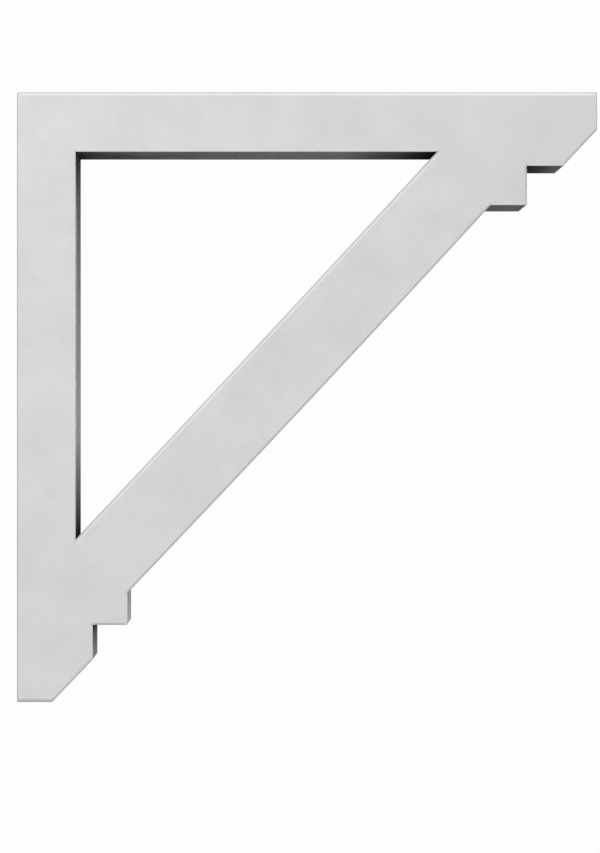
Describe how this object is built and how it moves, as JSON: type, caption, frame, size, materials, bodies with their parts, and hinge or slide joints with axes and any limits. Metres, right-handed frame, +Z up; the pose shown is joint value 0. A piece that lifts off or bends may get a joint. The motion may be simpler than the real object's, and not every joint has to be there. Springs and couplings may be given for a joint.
{
  "type": "urethane bracket",
  "caption": "Plain timber-style bracket moulded in urethane: a wall post, a top beam and a slanting brace round a triangular opening, with chamfered, stepped ends.",
  "frame": {"origin": "centre of the flat back of the post, which goes against the wall", "axes": "+X out from the wall along the top beam, +Z up, +Y across the thickness; the picture looks along +Y"},
  "size_m": [0.87, 0.0888, 0.9144],
  "materials": {
    "primed_urethane": "matte"
  },
  "bodies": {
    "root": {"bracket": "primed_urethane"}
  },
  "joints": []
}
